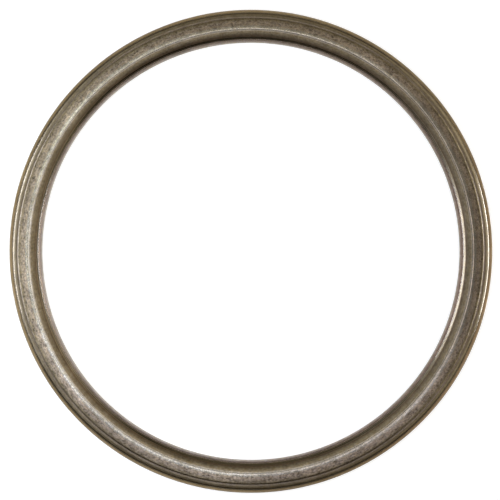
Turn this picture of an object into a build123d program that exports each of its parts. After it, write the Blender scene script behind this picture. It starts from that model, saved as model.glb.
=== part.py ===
from build123d import *
import os

# Exhaust gasket: one ring of thin sheet steel, pressed to a crowned and beaded section.
# Millimetres, with +Z up along the ring's axis. The origin is the centre of the ring,
# on the plane of the underside of its two flat lips.

# The bore and the sheet
BORE_RADIUS = 45.0
SHEET = 0.30

# Widths of the section's zones, from the bore out to the rim
INNER_LIP = 0.80
FLANK_RUN = 2.30
SLOPE_RUN = 1.90
STEP_RUN = 0.32
BEAD_RUN = 1.08
OUTER_LIP = 0.70

# Heights of the upper face above that of the lips
RIDGE_RISE = 0.97
STEP_TOP_RISE = 0.57
STEP_ROOT_RISE = 0.40

# Radii of the upper face: the bead, and the bends between zones
BEAD_RADIUS = 1.30
FLANK_FOOT_BEND = 0.15
RIDGE_BEND = 0.60
BEAD_FOOT_BEND = 0.15

# Radii that follow from the widths
FLANK_FOOT_RADIUS = BORE_RADIUS + INNER_LIP
RIDGE_RADIUS = FLANK_FOOT_RADIUS + FLANK_RUN
STEP_TOP_RADIUS = RIDGE_RADIUS + SLOPE_RUN
STEP_ROOT_RADIUS = STEP_TOP_RADIUS + STEP_RUN
BEAD_FOOT_RADIUS = STEP_ROOT_RADIUS + BEAD_RUN
RIM_RADIUS = BEAD_FOOT_RADIUS + OUTER_LIP


def bend(space, corner, radius):
    """The space with one of its corners rounded, as sheet metal bends."""
    return fillet(space.vertices().sort_by_distance(corner)[0], radius)


def space_above():
    """The open space over the ring in section: its lower edge is the ring's upper face."""
    inner_end = Vector(BORE_RADIUS - 2 * SHEET, SHEET)
    flank_foot = Vector(FLANK_FOOT_RADIUS, SHEET)
    ridge = Vector(RIDGE_RADIUS, SHEET + RIDGE_RISE)
    step_top = Vector(STEP_TOP_RADIUS, SHEET + STEP_TOP_RISE)
    step_root = Vector(STEP_ROOT_RADIUS, SHEET + STEP_ROOT_RISE)
    bead_foot = Vector(BEAD_FOOT_RADIUS, SHEET)
    outer_end = Vector(RIM_RADIUS + 2 * SHEET, SHEET)

    inner_lip = Line(inner_end, flank_foot)
    # The flank leaves the ridge level and steepens all the way down to its foot
    flank = TangentArc(ridge, flank_foot, tangent=(-1, 0))
    # The outer slope is straight, and rolls over into the step at its lower end
    slope = Line(ridge, step_top)
    step = TangentArc(step_top, step_root, tangent=step_top - ridge)
    # The bead leaves the step's root nearly level and drops to the outer lip
    bead = RadiusArc(step_root, bead_foot, BEAD_RADIUS)
    outer_lip = Line(bead_foot, outer_end)

    up = Vector(0, 2 * RIDGE_RISE + 2 * SHEET)
    over = Polyline(outer_end, outer_end + up, inner_end + up, inner_end)
    space = make_face([inner_lip, flank, slope, step, bead, outer_lip, *over.edges()])
    space = bend(space, flank_foot, FLANK_FOOT_BEND)
    space = bend(space, ridge, RIDGE_BEND)
    return bend(space, bead_foot, BEAD_FOOT_BEND)


def sheet_section():
    """The sheet in section: one sheet's thickness under the space, from bore to rim."""
    space = space_above()
    sheet = offset(space, SHEET) - space
    band_size = (RIM_RADIUS - BORE_RADIUS, 2 * RIDGE_RISE + 3 * SHEET)
    band = Rectangle(*band_size, align=(Align.MIN, Align.CENTER))
    return sheet & (Pos(BORE_RADIUS, 0) * band)


def gasket_ring():
    """The whole gasket: its section turned once about the axis."""
    return revolve(Plane.XZ * sheet_section(), Axis.Z)


os.makedirs("parts", exist_ok=True)
export_step(gasket_ring(), "parts/gasket_ring.step")
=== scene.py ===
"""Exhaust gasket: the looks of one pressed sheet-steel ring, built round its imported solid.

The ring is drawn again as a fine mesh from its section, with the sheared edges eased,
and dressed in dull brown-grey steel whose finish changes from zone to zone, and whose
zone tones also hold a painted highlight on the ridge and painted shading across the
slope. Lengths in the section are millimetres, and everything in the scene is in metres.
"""

import logging
import math
from dataclasses import dataclass, field
from enum import Enum

import bpy
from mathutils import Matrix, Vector

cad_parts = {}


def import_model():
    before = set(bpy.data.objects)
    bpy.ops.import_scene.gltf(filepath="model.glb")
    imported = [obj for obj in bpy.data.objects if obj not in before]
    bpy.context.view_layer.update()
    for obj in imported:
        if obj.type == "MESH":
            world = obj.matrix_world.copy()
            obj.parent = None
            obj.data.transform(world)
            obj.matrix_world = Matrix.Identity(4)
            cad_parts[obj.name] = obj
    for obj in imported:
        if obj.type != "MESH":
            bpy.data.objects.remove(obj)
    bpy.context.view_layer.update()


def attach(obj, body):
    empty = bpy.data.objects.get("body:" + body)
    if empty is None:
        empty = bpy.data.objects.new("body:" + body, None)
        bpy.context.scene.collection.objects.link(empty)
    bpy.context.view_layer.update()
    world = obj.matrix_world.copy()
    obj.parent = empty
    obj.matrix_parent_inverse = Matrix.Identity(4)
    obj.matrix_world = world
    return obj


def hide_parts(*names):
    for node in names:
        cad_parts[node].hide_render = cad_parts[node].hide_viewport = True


MM = 0.001
LOG = logging.getLogger("exhaust_gasket")

# How far in mm the extra loops lie from a flat's ends, so that its shading stays flat
HOLD = 0.06
# Points of the section that lie nearer than this in mm are one point
DOUBLE = 0.0001
# The sockets of a Mix node that mixes colours
MIX_AMOUNT, MIX_FIRST, MIX_SECOND, MIX_RESULT = 0, 6, 7, 2

Point = tuple[float, float]
Colour = tuple[float, float, float]
Feed = bpy.types.NodeSocket | float | tuple[float, ...]


class Bow(Enum):
    """Which way a stretch of the section curves, seen with the ridge upwards."""

    STRAIGHT = 0
    HOLLOW = 1
    CROWNED = -1


@dataclass(frozen=True)
class Round:
    """A circle that a curved stretch of the section lies on, in mm."""

    x: float
    y: float
    radius: float

    @classmethod
    def leaving(cls, start: Point, upward: Point, end: Point) -> "Round":
        """The circle that leaves one point square to its normal and reaches another.

        Args:
            start: Where it leaves.
            upward: The unit normal there, away from the centre.
            end: The point that it reaches.

        Returns:
            The circle.
        """
        run, rise = end[0] - start[0], end[1] - start[1]
        radius = -(run**2 + rise**2) / (2 * (run * upward[0] + rise * upward[1]))
        return cls(start[0] - upward[0] * radius, start[1] - upward[1] * radius, radius)

    @classmethod
    def through(cls, start: Point, end: Point, radius: float) -> "Round":
        """The circle of a given radius through two points, with its centre below.

        Args:
            start: The point nearer the bore.
            end: The point nearer the rim.
            radius: The circle's radius.

        Returns:
            The circle.
        """
        run, rise = end[0] - start[0], end[1] - start[1]
        chord = math.hypot(run, rise)
        depth = math.sqrt(radius**2 - chord**2 / 4) / chord
        middle = ((start[0] + end[0]) / 2, (start[1] + end[1]) / 2)
        return cls(middle[0] + rise * depth, middle[1] - run * depth, radius)

    def foot_bend(self, bend: float, level: float, side: int) -> "Round":
        """The small circle that bends this one out into a flat lip.

        Args:
            bend: The bend's radius.
            level: The height of the lip.
            side: 1 for a lip towards the rim, -1 for one towards the bore.

        Returns:
            The bend, which touches this circle from outside.
        """
        run = math.sqrt((self.radius + bend) ** 2 - (level + bend - self.y) ** 2)
        return Round(self.x + side * run, level + bend, bend)

    def crest_bend(self, bend: float, upward: Point) -> "Round":
        """The small circle that bends this one over into a slope from its top.

        Args:
            bend: The bend's radius.
            upward: The slope's unit normal.

        Returns:
            The bend, which touches this circle from inside.
        """
        across = self.radius * upward[1] - bend
        along = math.sqrt((self.radius - bend) ** 2 - across**2)
        x = self.x + across * upward[0] - along * upward[1]
        y = self.y + across * upward[1] + along * upward[0]
        return Round(x, y, bend)

    def touch(self, other: "Round") -> Point:
        """The point of this circle that lies towards the centre of a circle it touches."""
        reach = self.radius / math.dist((self.x, self.y), (other.x, other.y))
        return (self.x + (other.x - self.x) * reach, self.y + (other.y - self.y) * reach)


@dataclass(frozen=True)
class Stretch:
    """One run of the ring's upper face in section, up to the point where it ends."""

    end: Point
    bow: Bow = Bow.STRAIGHT
    radius: float = 0.0

    def samples(self, start: Point, step_degrees: float) -> list[tuple[Point, Point]]:
        """Points along the stretch, each with the direction square to the face.

        Args:
            start: Where the stretch before it ended, as radius and height in mm.
            step_degrees: The largest turn between two points of an arc.

        Returns:
            Pairs of a point and its upward unit normal, both ends included.
        """
        x0, y0 = start
        x1, y1 = self.end
        chord = math.hypot(x1 - x0, y1 - y0)
        side = (-(y1 - y0) / chord, (x1 - x0) / chord)
        if self.bow is Bow.STRAIGHT:
            shares = (0.0, HOLD / chord, 1.0 - HOLD / chord, 1.0)
            return [((x0 + (x1 - x0) * t, y0 + (y1 - y0) * t), side) for t in shares]
        half = math.asin(chord / 2 / self.radius)
        reach = self.bow.value * self.radius * math.cos(half)
        centre = ((x0 + x1) / 2 + side[0] * reach, (y0 + y1) / 2 + side[1] * reach)
        steps = max(2, math.ceil(math.degrees(2 * half) / step_degrees))
        made = []
        for i in range(steps + 1):
            turn = self.bow.value * half * (2 * i / steps - 1)
            normal = (
                side[0] * math.cos(turn) - side[1] * math.sin(turn),
                side[0] * math.sin(turn) + side[1] * math.cos(turn),
            )
            out = -self.bow.value * self.radius
            made.append(((centre[0] + normal[0] * out, centre[1] + normal[1] * out), normal))
        return made


@dataclass(frozen=True)
class GasketSection:
    """The pressed sheet in section, from the solid's own driving sizes in mm."""

    bore_radius: float = 45.0
    sheet: float = 0.30
    inner_lip: float = 0.80
    flank_run: float = 2.30
    slope_run: float = 1.90
    step_run: float = 0.32
    bead_run: float = 1.08
    outer_lip: float = 0.70
    ridge_rise: float = 0.97
    step_top_rise: float = 0.57
    step_root_rise: float = 0.40
    bead_radius: float = 1.30
    foot_bend: float = 0.15
    ridge_bend: float = 0.60
    sheared_edge: float = 0.035
    sheared_bulge: float = 0.3
    step_degrees: float = 4.0
    root_step_degrees: float = 12.0

    def rim_radius(self) -> float:
        """The radius of the rim, from the widths across the band."""
        inner = self.bore_radius + self.inner_lip + self.flank_run
        return inner + self.slope_run + self.step_run + self.bead_run + self.outer_lip

    def stretches(self) -> tuple[Stretch, ...]:
        """The runs of the upper face, each ending where it touches the next.

        Returns:
            The runs in order, from the bore to the rim.
        """
        lip = self.sheet
        flank_foot = (self.bore_radius + self.inner_lip, lip)
        ridge = (flank_foot[0] + self.flank_run, lip + self.ridge_rise)
        step_top = (ridge[0] + self.slope_run, lip + self.step_top_rise)
        step_root = (step_top[0] + self.step_run, lip + self.step_root_rise)
        bead_foot = (step_root[0] + self.bead_run, lip)
        fall = self.ridge_rise - self.step_top_rise
        slope = math.hypot(self.slope_run, fall)
        square = (fall / slope, self.slope_run / slope)

        flank = Round.leaving(ridge, (0.0, 1.0), flank_foot)
        inner_bend = flank.foot_bend(self.foot_bend, lip, -1)
        crest = flank.crest_bend(self.ridge_bend, square)
        crest_end = (crest.x + square[0] * crest.radius, crest.y + square[1] * crest.radius)
        step = Round.leaving(step_top, square, step_root)
        bead = Round.through(step_root, bead_foot, self.bead_radius)
        outer_bend = bead.foot_bend(self.foot_bend, lip, 1)
        return (
            Stretch((inner_bend.x, lip)),
            Stretch(flank.touch(inner_bend), Bow.HOLLOW, inner_bend.radius),
            Stretch(flank.touch(crest), Bow.CROWNED, flank.radius),
            Stretch(crest_end, Bow.CROWNED, crest.radius),
            Stretch(step_top),
            Stretch(step_root, Bow.CROWNED, step.radius),
            Stretch(bead.touch(outer_bend), Bow.CROWNED, bead.radius),
            Stretch((outer_bend.x, lip), Bow.HOLLOW, outer_bend.radius),
            Stretch((self.rim_radius(), lip)),
        )

    def upper_face(self) -> list[tuple[Point, Point]]:
        """Samples of the whole upper face, from the bore to the rim.

        Returns:
            Pairs of a point and its normal. The step's root has two normals.
        """
        place = (self.bore_radius, self.sheet)
        face: list[tuple[Point, Point]] = []
        for stretch in self.stretches():
            face += stretch.samples(place, self.step_degrees)
            place = stretch.end
        return face

    def under_face(self) -> list[Point]:
        """The underside, one sheet square below the upper face, from rim to bore.

        Returns:
            Points in mm. Under the step's sharp root they run round a small arc.
        """
        made: list[Point] = []
        last: Point | None = None
        for (x, y), normal in self.upper_face():
            for nx, ny in self.fan(last, normal):
                made.append((x - nx * self.sheet, y - ny * self.sheet))
            last = normal
        return made[::-1]

    def fan(self, first: Point | None, last: Point) -> list[Point]:
        """Unit normals that turn from one to the next in small steps.

        Args:
            first: The normal before, or None at the start.
            last: The normal to end on.

        Returns:
            The normals after the first, ending with the last.
        """
        if first is None:
            return [last]
        a, b = math.atan2(first[1], first[0]), math.atan2(last[1], last[0])
        steps = max(1, math.ceil(abs(math.degrees(b - a)) / self.root_step_degrees))
        turns = [a + (b - a) * (i + 1) / steps for i in range(steps)]
        return [(math.cos(t), math.sin(t)) for t in turns]

    def outline(self) -> list[Point]:
        """The closed outline of the section, with the four sheared corners eased.

        Returns:
            Points in mm, once round, clear of doubles.
        """
        ease = self.sheared_edge
        bulge = ease * self.sheared_bulge
        bore, rim, top = self.bore_radius, self.rim_radius(), self.sheet
        upper = [point for point, _ in self.upper_face()]
        under = self.under_face()
        loop = [(bore, top - ease), (bore + bulge, top - bulge), (bore + ease, top)]
        loop += upper[1:-1]
        loop += [(rim - ease, top), (rim - bulge, top - bulge), (rim, top - ease)]
        loop += [(rim, ease), (rim - bulge, bulge), (rim - ease, 0.0)]
        loop += under[1:-1]
        loop += [(bore + ease, 0.0), (bore + bulge, bulge), (bore, ease)]
        clear = [loop[0]]
        for point in loop[1:]:
            if math.dist(point, clear[-1]) > DOUBLE:
                clear.append(point)
        return clear

    def loop_object(self, middle: float) -> bpy.types.Object:
        """The section's outline as a loop of edges, for the tree that turns it.

        Args:
            middle: The radius in mm that the loop is drawn about.

        Returns:
            An object that holds only the loop.
        """
        points = [((x - middle) * MM, -y * MM, 0.0) for x, y in self.outline()]
        edges = [(i, (i + 1) % len(points)) for i in range(len(points))]
        mesh = bpy.data.meshes.new("gasket_section")
        mesh.from_pydata(points, edges, [])
        return bpy.data.objects.new("gasket_section", mesh)


@dataclass
class RingTree:
    """Geometry Nodes that carry a section once round the ring's axis."""

    name: str = "turned_ring"
    sockets: dict[str, str] = field(default_factory=dict)

    def build(self) -> bpy.types.NodeTree:
        """Makes the tree with its named inputs.

        Returns:
            The node tree, ready for a modifier.
        """
        tree = bpy.data.node_groups.new(self.name, "GeometryNodeTree")
        face = tree.interface
        wanted = (
            ("Section", "NodeSocketObject"),
            ("Middle Radius", "NodeSocketFloat"),
            ("Steps Round", "NodeSocketInt"),
            ("Steel", "NodeSocketMaterial"),
        )
        for label, kind in wanted:
            made = face.new_socket(label, in_out="INPUT", socket_type=kind)
            self.sockets[label] = made.identifier
        face.new_socket("Ring", in_out="OUTPUT", socket_type="NodeSocketGeometry")
        source = tree.nodes.new("NodeGroupInput")
        result = tree.nodes.new("NodeGroupOutput")
        info = tree.nodes.new("GeometryNodeObjectInfo")
        profile = tree.nodes.new("GeometryNodeMeshToCurve")
        path = tree.nodes.new("GeometryNodeCurvePrimitiveCircle")
        sweep = tree.nodes.new("GeometryNodeCurveToMesh")
        smooth = tree.nodes.new("GeometryNodeSetShadeSmooth")
        realize = tree.nodes.new("GeometryNodeRealizeInstances")
        dress = tree.nodes.new("GeometryNodeSetMaterial")
        link = tree.links.new
        link(source.outputs["Section"], info.inputs["Object"])
        link(info.outputs["Geometry"], profile.inputs["Mesh"])
        link(source.outputs["Middle Radius"], path.inputs["Radius"])
        link(source.outputs["Steps Round"], path.inputs["Resolution"])
        link(path.outputs["Curve"], sweep.inputs["Curve"])
        link(profile.outputs["Curve"], sweep.inputs["Profile Curve"])
        link(sweep.outputs["Mesh"], smooth.inputs["Geometry"])
        link(smooth.outputs["Geometry"], realize.inputs["Geometry"])
        link(realize.outputs["Geometry"], dress.inputs["Geometry"])
        link(source.outputs["Steel"], dress.inputs["Material"])
        link(dress.outputs["Geometry"], result.inputs["Ring"])
        return tree

    def set_inputs(self, modifier: bpy.types.Modifier, values: dict[str, object]) -> None:
        """Sets the modifier's inputs by their sockets' identifiers.

        Args:
            modifier: The Geometry Nodes modifier that runs the tree.
            values: A value for each named input.
        """
        for label, value in values.items():
            modifier[self.sockets[label]] = value


class Tint(Enum):
    """The steel's hues, each as strong as plain grey."""

    BARE = (1.06, 0.99, 0.90)
    GREY = (1.17, 0.97, 0.80)
    MAUVE = (1.16, 0.96, 0.91)
    OLIVE = (1.19, 0.98, 0.68)
    BROWN = (1.34, 0.94, 0.62)
    KHAKI = (1.28, 0.96, 0.55)


@dataclass(frozen=True)
class ZoneFinish:
    """How the steel looks at one radius of the ring, in mm."""

    place: str
    radius: float
    # Partly the steel's own tone, partly painted light: a highlight on the ridge and shading across
    # the slope
    tone: float
    tint: Tint
    roughness: float
    grain: float
    rings: float

    def colour(self) -> Colour:
        """The zone's colour."""
        red, green, blue = self.tint.value
        return (self.tone * red, self.tone * green, self.tone * blue)


class Wiring:
    """A material's node tree, with short calls that add its nodes and join them."""

    def __init__(self, tree: bpy.types.NodeTree) -> None:
        """Keeps the tree that the nodes go into."""
        self.tree = tree

    def node(self, kind: str, **settings: object) -> bpy.types.Node:
        """Adds one node.

        Args:
            kind: The node's type in Blender.
            **settings: Attributes to set on it.

        Returns:
            The node.
        """
        made = self.tree.nodes.new(kind)
        for label, value in settings.items():
            setattr(made, label, value)
        return made

    def feed(self, value: Feed, socket: bpy.types.NodeSocket) -> None:
        """Joins a socket to another, or sets it to a plain value.

        Args:
            value: An output to join, or a number or colour.
            socket: The input that takes it.
        """
        if isinstance(value, bpy.types.NodeSocket):
            self.tree.links.new(value, socket)
        else:
            socket.default_value = value

    def maths(self, operation: str, *terms: Feed) -> bpy.types.NodeSocket:
        """One step of arithmetic.

        Args:
            operation: What the Math node does.
            *terms: Its inputs in order.

        Returns:
            The result.
        """
        made = self.node("ShaderNodeMath", operation=operation)
        for term, socket in zip(terms, made.inputs):
            self.feed(term, socket)
        return made.outputs["Value"]

    def noise(self, place: Feed, scale: float, detail: float, rough: float) -> bpy.types.NodeSocket:
        """Smooth noise about 0.5.

        Args:
            place: Where each point lies in the pattern.
            scale: How many features there are to a unit of place.
            detail: How many finer layers are added.
            rough: How strong the finer layers are.

        Returns:
            The noise's value.
        """
        made = self.node("ShaderNodeTexNoise", noise_dimensions="3D")
        self.feed(place, made.inputs["Vector"])
        self.feed(scale, made.inputs["Scale"])
        self.feed(detail, made.inputs["Detail"])
        self.feed(rough, made.inputs["Roughness"])
        return made.outputs["Fac"]

    def spread(
        self, value: Feed, low: float, high: float, start: float, end: float
    ) -> bpy.types.NodeSocket:
        """Carries the range from low to high over to start to end, and clamps it.

        Args:
            value: What is carried over.
            low: The value that becomes start.
            high: The value that becomes end.
            start: The result at low.
            end: The result at high.

        Returns:
            The result.
        """
        made = self.node("ShaderNodeMapRange")
        for label, term in (
            ("Value", value),
            ("From Min", low),
            ("From Max", high),
            ("To Min", start),
            ("To Max", end),
        ):
            self.feed(term, made.inputs[label])
        return made.outputs["Result"]

    def blend(self, mode: str, amount: Feed, first: Feed, second: Feed) -> bpy.types.NodeSocket:
        """Mixes two colours.

        Args:
            mode: The way they are mixed.
            amount: How much of the second is used.
            first: The colour below.
            second: The colour on top.

        Returns:
            The mixed colour.
        """
        made = self.node("ShaderNodeMix", data_type="RGBA", blend_type=mode)
        self.feed(amount, made.inputs[MIX_AMOUNT])
        self.feed(first, made.inputs[MIX_FIRST])
        self.feed(second, made.inputs[MIX_SECOND])
        return made.outputs[MIX_RESULT]


@dataclass(frozen=True)
class Pattern:
    """A noise laid round the ring, and the range of its values that is used.

    The scales say how fast it changes on the way round, and across the band per mm.
    """

    round_scale: float
    across_scale: float
    detail: float
    rough: float
    low: float
    high: float


@dataclass(frozen=True)
class Spot:
    """Sockets that say where a point of the ring is, with lengths in mm."""

    place: bpy.types.NodeSocket
    outward: bpy.types.NodeSocket
    radius: bpy.types.NodeSocket


@dataclass(frozen=True)
class Marks:
    """Sockets of the marks that colour, roughness and relief share."""

    grain: bpy.types.NodeSocket
    rings: bpy.types.NodeSocket
    grain_share: bpy.types.NodeSocket
    ring_share: bpy.types.NodeSocket


@dataclass(frozen=True)
class PressedSteel:
    """Dull pressed steel whose finish follows the zones of the section.

    The zones' tones hold painted light besides the steel's own tone: a painted highlight
    along the ridge and painted shading across the slope. Each strength is how far its
    marks carry a value either way. The heights of the relief are in mm.
    """

    name: str = "pressed_steel"
    grain: Pattern = Pattern(105.0, 3.4, 2.0, 0.5, 0.3, 0.7)
    clusters: Pattern = Pattern(26.0, 1.2, 2.0, 0.5, 0.3, 0.7)
    rings: Pattern = Pattern(1.2, 9.0, 2.0, 0.6, 0.35, 0.65)
    stains: Pattern = Pattern(60.0, 2.6, 3.0, 0.6, 0.35, 0.68)
    patch_scale: float = 0.22
    patch_detail: float = 3.0
    patch_rough: float = 0.6
    patch_low: float = 0.3
    patch_high: float = 0.7
    speck_strength: float = 0.6
    cluster_strength: float = 0.26
    ring_strength: float = 0.22
    patch_strength: float = 0.12
    wear_strength: float = 0.05
    grain_height: float = 0.0015
    ring_height: float = 0.0008
    stain: Colour = (0.98, 0.93, 0.78)
    # The tones were fitted radius by radius to the ring's brightness under these lights, so besides
    # the steel's own tone they hold painted light
    zones: tuple[ZoneFinish, ...] = (
        ZoneFinish("bore edge", 45.00, 0.45, Tint.BARE, 0.60, 0.20, 0.3),
        ZoneFinish("inner lip", 45.40, 0.22, Tint.MAUVE, 0.30, 0.20, 0.3),
        ZoneFinish("inner lip bend", 45.70, 0.24, Tint.GREY, 0.20, 0.15, 0.3),
        ZoneFinish("flank foot", 45.85, 0.15, Tint.GREY, 0.20, 0.15, 0.5),
        ZoneFinish("low flank", 46.00, 0.12, Tint.OLIVE, 0.30, 0.20, 0.5),
        ZoneFinish("low flank middle", 46.20, 0.10, Tint.OLIVE, 0.20, 0.20, 0.5),
        ZoneFinish("low flank top", 46.50, 0.07, Tint.BROWN, 0.60, 0.35, 0.5),
        ZoneFinish("flank middle", 46.90, 0.12, Tint.OLIVE, 0.40, 0.45, 0.5),
        ZoneFinish("flank top", 47.50, 0.20, Tint.OLIVE, 0.55, 0.45, 0.4),
        # Painted highlight: the high tones of the three ridge zones brighten the light line along
        # the crest
        ZoneFinish("ridge inner side", 47.80, 0.38, Tint.BARE, 0.25, 0.30, 0.3),
        ZoneFinish("ridge", 48.00, 0.48, Tint.BARE, 0.30, 0.40, 0.1),
        ZoneFinish("ridge outer side", 48.20, 0.45, Tint.BARE, 0.20, 0.50, 0.0),
        # Painted shading: the tones fall from the slope's top to its bottom as light would on a
        # curved slope, though this slope is straight
        ZoneFinish("slope top", 48.45, 0.30, Tint.BARE, 0.25, 0.70, 0.0),
        ZoneFinish("upper slope", 48.80, 0.23, Tint.GREY, 0.27, 0.90, 0.0),
        ZoneFinish("middle slope", 49.40, 0.19, Tint.GREY, 0.33, 1.00, 0.0),
        ZoneFinish("slope bottom", 50.00, 0.13, Tint.OLIVE, 0.30, 0.85, 0.1),
        ZoneFinish("step", 50.20, 0.13, Tint.OLIVE, 0.40, 0.50, 0.4),
        ZoneFinish("step root", 50.40, 0.16, Tint.GREY, 0.25, 0.30, 0.6),
        ZoneFinish("bead top", 50.70, 0.12, Tint.OLIVE, 0.40, 0.30, 1.0),
        ZoneFinish("bead side", 51.00, 0.16, Tint.OLIVE, 0.60, 0.30, 1.0),
        ZoneFinish("bead low side", 51.25, 0.19, Tint.OLIVE, 0.20, 0.20, 1.0),
        ZoneFinish("bead foot", 51.45, 0.10, Tint.OLIVE, 0.20, 0.20, 0.6),
        ZoneFinish("outer lip", 51.70, 0.21, Tint.KHAKI, 0.30, 0.15, 0.3),
        ZoneFinish("rim", 52.10, 0.26, Tint.OLIVE, 0.30, 0.15, 0.3),
    )

    def material(self) -> bpy.types.Material:
        """The finish as a material.

        Returns:
            A material on Object coordinates.
        """
        made = bpy.data.materials.new(self.name)
        made.use_nodes = True
        made.node_tree.nodes.clear()
        w = Wiring(made.node_tree)
        out = w.node("ShaderNodeOutputMaterial")
        shader = w.node("ShaderNodeBsdfPrincipled")
        shader.inputs["Metallic"].default_value = 1.0
        w.feed(shader.outputs["BSDF"], out.inputs["Surface"])

        spot = self.spot(w)
        marks = Marks(
            self.noise(w, spot, self.grain),
            self.noise(w, spot, self.rings),
            self.ramp(w, spot, [(zone.grain,) * 3 for zone in self.zones]),
            self.ramp(w, spot, [(zone.rings,) * 3 for zone in self.zones]),
        )
        w.feed(self.colour(w, spot, marks), shader.inputs["Base Color"])
        w.feed(self.roughness(w, spot, marks), shader.inputs["Roughness"])
        w.feed(self.relief(w, marks), shader.inputs["Normal"])
        return made

    def spot(self, w: Wiring) -> Spot:
        """Where a point is on the ring.

        Args:
            w: The material's wiring.

        Returns:
            The place, the direction from the axis, and the radius.
        """
        coordinates = w.node("ShaderNodeTexCoord")
        scaled = w.node("ShaderNodeVectorMath", operation="SCALE")
        w.feed(coordinates.outputs["Object"], scaled.inputs[0])
        scaled.inputs["Scale"].default_value = 1.0 / MM
        place = scaled.outputs["Vector"]
        flat = w.node("ShaderNodeVectorMath", operation="MULTIPLY")
        w.feed(place, flat.inputs[0])
        flat.inputs[1].default_value = (1.0, 1.0, 0.0)
        unit = w.node("ShaderNodeVectorMath", operation="NORMALIZE")
        w.feed(flat.outputs["Vector"], unit.inputs[0])
        length = w.node("ShaderNodeVectorMath", operation="LENGTH")
        w.feed(flat.outputs["Vector"], length.inputs[0])
        return Spot(place, unit.outputs["Vector"], length.outputs["Value"])

    def noise(self, w: Wiring, spot: Spot, pattern: Pattern) -> bpy.types.NodeSocket:
        """A noise that runs round the ring, with no seam.

        Args:
            w: The material's wiring.
            spot: Where a point is on the ring.
            pattern: The noise's scales and detail.

        Returns:
            The noise's value.
        """
        turned = w.node("ShaderNodeVectorMath", operation="SCALE")
        w.feed(spot.outward, turned.inputs[0])
        turned.inputs["Scale"].default_value = pattern.round_scale
        lifted = w.node("ShaderNodeCombineXYZ")
        w.feed(w.maths("MULTIPLY", spot.radius, pattern.across_scale), lifted.inputs["Z"])
        both = w.node("ShaderNodeVectorMath", operation="ADD")
        w.feed(turned.outputs["Vector"], both.inputs[0])
        w.feed(lifted.outputs["Vector"], both.inputs[1])
        return w.noise(both.outputs["Vector"], 1.0, pattern.detail, pattern.rough)

    def mark(
        self, w: Wiring, value: Feed, pattern: Pattern, strength: float, share: Feed
    ) -> bpy.types.NodeSocket:
        """A noise's values as a mark that lifts or lowers something.

        Args:
            w: The material's wiring.
            value: The noise's value.
            pattern: The range of the noise that is used.
            strength: The mark at the high end. At the low end it is the opposite.
            share: How much of the mark shows in each zone.

        Returns:
            The mark.
        """
        spread = w.spread(value, pattern.low, pattern.high, -strength, strength)
        return w.maths("MULTIPLY", spread, share)

    def colour(self, w: Wiring, spot: Spot, marks: Marks) -> bpy.types.NodeSocket:
        """The zones' colours, with specks, clusters, rings, soft patches and stains.

        Args:
            w: The material's wiring.
            spot: Where a point is on the ring.
            marks: The shared marks.

        Returns:
            The base colour.
        """
        # The zone colours carry painted light: a highlight along the ridge and shading across the
        # slope
        zoned = self.ramp(w, spot, [zone.colour() for zone in self.zones])
        clusters = self.noise(w, spot, self.clusters)
        stains = self.noise(w, spot, self.stains)
        patches = w.noise(spot.place, self.patch_scale, self.patch_detail, self.patch_rough)
        weak, strong = 1.0 - self.patch_strength, 1.0 + self.patch_strength
        tone = w.spread(patches, self.patch_low, self.patch_high, weak, strong)
        specks = self.mark(w, marks.grain, self.grain, self.speck_strength, marks.grain_share)
        groups = self.mark(w, clusters, self.clusters, self.cluster_strength, marks.grain_share)
        stripes = self.mark(w, marks.rings, self.rings, self.ring_strength, marks.ring_share)
        light = w.maths("ADD", w.maths("ADD", specks, stripes), groups)
        light = w.maths("MULTIPLY", w.maths("ADD", light, 1.0), tone)
        shade = w.node("ShaderNodeCombineColor")
        for channel in ("Red", "Green", "Blue"):
            w.feed(light, shade.inputs[channel])
        toned = w.blend("MULTIPLY", 1.0, zoned, shade.outputs["Color"])
        stained = w.spread(stains, self.stains.low, self.stains.high, 0.0, 1.0)
        return w.blend("MULTIPLY", stained, toned, (*self.stain, 1.0))

    def roughness(self, w: Wiring, spot: Spot, marks: Marks) -> bpy.types.NodeSocket:
        """The zones' roughness, a little duller between the specks.

        Args:
            w: The material's wiring.
            spot: Where a point is on the ring.
            marks: The shared marks.

        Returns:
            The roughness.
        """
        zoned = self.ramp(w, spot, [(zone.roughness,) * 3 for zone in self.zones])
        worn = self.mark(w, marks.grain, self.grain, -self.wear_strength, marks.grain_share)
        return w.maths("ADD", zoned, worn)

    def relief(self, w: Wiring, marks: Marks) -> bpy.types.NodeSocket:
        """Grain on the slope, and fine rings where the tool slid over the sheet.

        Args:
            w: The material's wiring.
            marks: The shared marks.

        Returns:
            The normal.
        """
        grain = w.maths("MULTIPLY", marks.grain, marks.grain_share)
        grain = w.maths("MULTIPLY", grain, self.grain_height)
        grooves = w.maths("MULTIPLY", marks.rings, marks.ring_share)
        grooves = w.maths("MULTIPLY", grooves, self.ring_height)
        bump = w.node("ShaderNodeBump")
        bump.inputs["Strength"].default_value = 1.0
        bump.inputs["Distance"].default_value = MM
        w.feed(w.maths("ADD", grain, grooves), bump.inputs["Height"])
        return bump.outputs["Normal"]

    def ramp(self, w: Wiring, spot: Spot, colours: list[Colour]) -> bpy.types.NodeSocket:
        """A ramp across the band with one stop for each zone.

        Args:
            w: The material's wiring.
            spot: Where a point is on the ring.
            colours: One colour for each of the zones.

        Returns:
            The ramp's colour.
        """
        node = w.node("ShaderNodeValToRGB")
        bore, rim = self.zones[0].radius, self.zones[-1].radius
        ramp = node.color_ramp
        while len(ramp.elements) < len(colours):
            ramp.elements.new(0.5)
        for stop, zone, colour in zip(ramp.elements, self.zones, colours):
            stop.position = (zone.radius - bore) / (rim - bore)
            stop.color = (*colour, 1.0)
        w.feed(w.spread(spot.radius, bore, rim, 0.0, 1.0), node.inputs["Fac"])
        return node.outputs["Color"]


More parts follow.
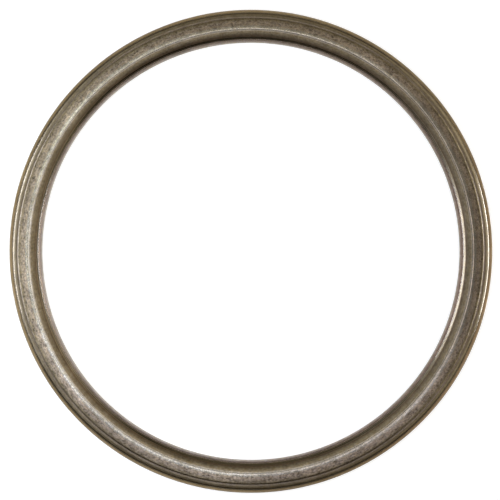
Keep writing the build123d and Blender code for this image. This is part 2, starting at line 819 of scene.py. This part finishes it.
@dataclass
class GasketRing:
    """The gasket itself: the fine mesh that stands for the solid ring."""

    section: GasketSection = field(default_factory=GasketSection)
    finish: PressedSteel = field(default_factory=PressedSteel)
    middle_radius: float = 48.55
    steps_round: int = 600

    def build(self) -> bpy.types.Object:
        """Turns the section once round and leaves a plain mesh.

        Returns:
            The finished ring, dressed, at the origin.
        """
        steel = self.finish.material()
        tree = RingTree()
        group = tree.build()
        holder = bpy.data.objects.new("ring_holder", bpy.data.meshes.new("ring_holder"))
        bpy.context.collection.objects.link(holder)
        loop = self.section.loop_object(self.middle_radius)
        modifier = holder.modifiers.new("turned", "NODES")
        modifier.node_group = group
        values = {
            "Section": loop,
            "Middle Radius": self.middle_radius * MM,
            "Steps Round": self.steps_round,
            "Steel": steel,
        }
        tree.set_inputs(modifier, values)
        graph = bpy.context.evaluated_depsgraph_get()
        mesh = bpy.data.meshes.new_from_object(holder.evaluated_get(graph))
        mesh.name = "gasket"
        holder.modifiers.remove(modifier)
        bpy.data.objects.remove(holder)
        bpy.data.objects.remove(loop)
        ring = bpy.data.objects.new("gasket", mesh)
        bpy.context.collection.objects.link(ring)
        return ring

    def seat(self, ring: bpy.types.Object) -> None:
        """Says what the ring rides on and stands for."""
        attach(ring, "root")
        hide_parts("gasket_ring")


@dataclass
class PaleFloor:
    """The plain white floor that the ring lies on, in metres.

    It glows softly, so that it stays white under the ring, and lies a hair below it.
    """

    half_width: float = 3.0
    drop: float = 0.0002
    whiteness: float = 0.4
    glow: float = 0.72

    def build(self) -> bpy.types.Object:
        """Makes the floor under the ring.

        Returns:
            The floor.
        """
        half = self.half_width
        corners = [(-half, -half, 0), (half, -half, 0), (half, half, 0), (-half, half, 0)]
        mesh = bpy.data.meshes.new("floor")
        mesh.from_pydata(corners, [], [(0, 1, 2, 3)])
        floor = bpy.data.objects.new("floor", mesh)
        bpy.context.collection.objects.link(floor)
        mesh.materials.append(self.paint())
        floor.location.z = -self.drop
        floor.visible_glossy = False
        return floor

    def paint(self) -> bpy.types.Material:
        """The floor's dull white paint.

        Returns:
            The material.
        """
        paint = bpy.data.materials.new("floor_white")
        paint.use_nodes = True
        shader = paint.node_tree.nodes["Principled BSDF"]
        shader.inputs["Base Color"].default_value = (self.whiteness,) * 3 + (1.0,)
        shader.inputs["Roughness"].default_value = 1.0
        shader.inputs["Specular IOR Level"].default_value = 0.0
        shader.inputs["Emission Color"].default_value = (1.0, 1.0, 1.0, 1.0)
        shader.inputs["Emission Strength"].default_value = self.glow
        return paint


@dataclass(frozen=True)
class Softbox:
    """One oblong soft light, aimed at the ring's centre.

    Angles are degrees, from +X towards +Y and up from the floor. Lengths are metres.
    """

    name: str
    azimuth: float
    elevation: float
    distance: float
    width: float
    height: float
    brightness: float
    tint: Colour = (1.0, 1.0, 1.0)

    def build(self) -> bpy.types.Object:
        """Hangs the light.

        Returns:
            The light's object.
        """
        lamp = bpy.data.lights.new(self.name, "AREA")
        lamp.shape = "RECTANGLE"
        lamp.size, lamp.size_y = self.width, self.height
        lamp.energy = self.brightness * math.pi * self.width * self.height
        lamp.color = self.tint
        made = bpy.data.objects.new(self.name, lamp)
        az, el = math.radians(self.azimuth), math.radians(self.elevation)
        way = Vector((math.cos(az) * math.cos(el), math.sin(az) * math.cos(el), math.sin(el)))
        made.location = way * self.distance
        made.rotation_mode = "QUATERNION"
        made.rotation_quaternion = way.to_track_quat("Z", "Y")
        made.visible_camera = False
        bpy.context.collection.objects.link(made)
        return made


@dataclass
class Studio:
    """Soft lights round the ring and the dim room beyond them.

    The floor hides the lower part of right_low, so it only skims the ring.
    """

    room: Colour = (0.11, 0.096, 0.076)
    boxes: tuple[Softbox, ...] = (
        Softbox("right_low", 0, -6, 0.23, 0.14, 0.10, 22, (0.9, 1.0, 1.3)),
        Softbox("right_back", 35, 28, 0.73, 0.45, 0.80, 0.65, (1.05, 1.0, 0.9)),
        Softbox("back_near", 55, 58, 0.27, 0.03, 0.04, 0.75, (1.05, 1.0, 1.0)),
        Softbox("back", 90, 37, 0.45, 0.40, 0.45, 0.35, (1.05, 1.0, 0.8)),
        Softbox("overhead_back", 90, 75, 0.90, 0.35, 0.17, 2.5),
        Softbox("back_left", 127, 44, 0.57, 0.16, 0.63, 0.68, (0.95, 1.0, 1.0)),
        Softbox("left_near_back", 150, 36, 0.13, 0.05, 0.10, 1.3, (0.95, 1.0, 0.95)),
        Softbox("left_low", 175, 18, 0.24, 0.18, 0.05, 14, (0.9, 1.0, 1.3)),
        Softbox("left_near", 185, 35, 0.12, 0.07, 0.03, 3.3, (0.95, 1.0, 1.0)),
        Softbox("left_top", 187, 76, 0.165, 0.035, 0.045, 2.5),
        Softbox("left_near_front", 213, 41, 0.12, 0.04, 0.05, 1.8, (0.95, 1.0, 1.1)),
        Softbox("front_near", 250, 51, 0.125, 0.06, 0.035, 1.9, (0.95, 1.0, 1.1)),
        Softbox("overhead_front", 302, 68, 0.94, 0.43, 0.30, 1.3, (1.0, 1.0, 1.1)),
        Softbox("right_top", 347, 74, 0.34, 0.09, 0.04, 2.7, (1.1, 0.95, 0.95)),
        Softbox("right", 0, 36, 0.80, 1.00, 0.25, 3.1, (1.05, 1.0, 0.8)),
    )

    def build(self) -> list[bpy.types.Object]:
        """Lights the scene.

        Returns:
            The lights' objects.
        """
        world = bpy.data.worlds.new("room")
        world.use_nodes = True
        back = world.node_tree.nodes["Background"]
        back.inputs["Color"].default_value = (*self.room, 1.0)
        bpy.context.scene.world = world
        bpy.context.scene.view_settings.view_transform = "Standard"
        return [box.build() for box in self.boxes]


@dataclass
class OverheadCamera:
    """A long lens that looks straight down, framed as in the photograph.

    Lengths are metres, but for the film's width in mm.
    """

    distance: float = 1.0
    frame_width: float = 0.1079
    aside: tuple[float, float] = (-0.00019, 0.00028)
    film_width: float = 36.0
    nearest: float = 0.01
    farthest: float = 10.0

    def build(self) -> bpy.types.Object:
        """Sets the camera and makes it the scene's own.

        Returns:
            The camera's object.
        """
        lens = bpy.data.cameras.new("camera")
        lens.sensor_width = self.film_width
        lens.lens = self.film_width * self.distance / self.frame_width
        lens.clip_start, lens.clip_end = self.nearest, self.farthest
        camera = bpy.data.objects.new("camera", lens)
        camera.location = (*self.aside, self.distance)
        bpy.context.collection.objects.link(camera)
        bpy.context.scene.camera = camera
        return camera


def main() -> None:
    """Builds the gasket, its floor, its lights and the camera, in that order."""
    logging.basicConfig(level=logging.INFO, format="%(name)s: %(message)s")
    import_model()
    gasket = GasketRing()
    ring = gasket.build()
    gasket.seat(ring)
    LOG.info("gasket: %d faces", len(ring.data.polygons))
    PaleFloor().build()
    LOG.info("floor laid")
    lights = Studio().build()
    LOG.info("lights hung: %d", len(lights))
    OverheadCamera().build()
    LOG.info("camera set")


if __name__ == "__main__":
    main()
